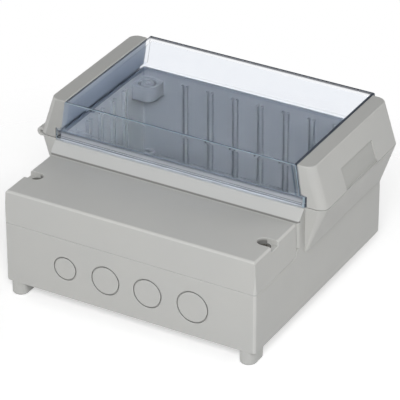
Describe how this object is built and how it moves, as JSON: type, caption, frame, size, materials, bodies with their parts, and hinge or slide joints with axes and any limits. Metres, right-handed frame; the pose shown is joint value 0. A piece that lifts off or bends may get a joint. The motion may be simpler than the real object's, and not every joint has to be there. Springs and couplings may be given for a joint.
{
  "type": "wall-mount enclosure",
  "caption": "Light grey plastic wall-mount enclosure with a hinged clear lid, card guides inside and a separate screwed cover over a terminal compartment with cable knockouts.",
  "frame": {"origin": "on the wall plane under the feet, midway between the two wall screw holes of the terminal side", "axes": "+Z away from the wall, +X to the right seen from the terminal side with the hinge on the left, +Y from the terminal side to the far side"},
  "size_m": [0.1918, 0.156, 0.0999],
  "materials": {
    "light_grey_plastic": "fine satin",
    "smoke_clear_plastic": "clear polished",
    "seal_rubber": "matte",
    "pin_steel": "drawn",
    "screw_steel": "zinc plated",
    "insert_brass": "turned"
  },
  "bodies": {
    "base": {"base_housing": "light_grey_plastic", "lid_seal": "seal_rubber", "hinge_pin": "pin_steel", "cover_insert_left": "insert_brass", "cover_insert_right": "insert_brass"},
    "lid": {"lid_hood": "smoke_clear_plastic", "hinge_strip": "light_grey_plastic", "closure_strip": "light_grey_plastic", "hinge_strip_screws": "screw_steel", "closure_strip_screws": "screw_steel"},
    "cover": {"terminal_cover": "light_grey_plastic", "cover_screw_left": "screw_steel", "cover_screw_right": "screw_steel"}
  },
  "joints": [
    {"name": "lid_hinge", "type": "hinge", "parent": "base", "child": "lid", "pos_m": [-0.095, 0.09865, 0.0731], "axis": [0, -1, 0], "range_deg": [0, 170]},
    {"name": "terminal_cover_lift", "type": "slide", "parent": "base", "child": "cover", "axis": [0, 0, 1], "range_m": [0, 0.08]}
  ]
}
